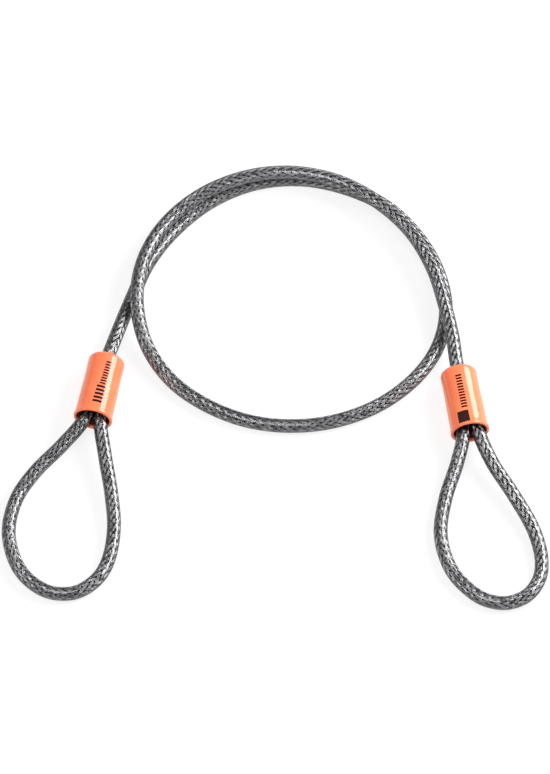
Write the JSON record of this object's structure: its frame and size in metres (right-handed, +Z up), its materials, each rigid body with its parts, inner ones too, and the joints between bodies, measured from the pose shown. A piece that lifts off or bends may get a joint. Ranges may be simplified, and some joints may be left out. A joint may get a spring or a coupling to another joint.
{
  "type": "double-loop braided steel security cable",
  "caption": "Jacketed braided steel cable with an eye at each end behind a moulded sleeve, laid as an overlapping ring; it passes through a wheel or frame and its eyes take a lock's shackle.",
  "frame": {"origin": "middle of the cable's bounding box on the surface it lies on", "axes": "+X from the left eye to the right eye, +Y from the eyes to the far side of the ring, +Z up off the surface"},
  "size_m": [0.3884, 0.3588, 0.028],
  "materials": {
    "core_wire": "dull galvanised",
    "braid_wire": "bright drawn wire",
    "clear_vinyl": "clear gloss",
    "ferrule_metal": "pressed, satin",
    "orange_sleeve": "gloss"
  },
  "bodies": {
    "root": {"steel_core": "core_wire", "wire_braid": "braid_wire", "vinyl_jacket": "clear_vinyl", "left_ferrule": "ferrule_metal", "right_ferrule": "ferrule_metal", "left_sleeve": "orange_sleeve", "right_sleeve": "orange_sleeve"}
  },
  "joints": []
}
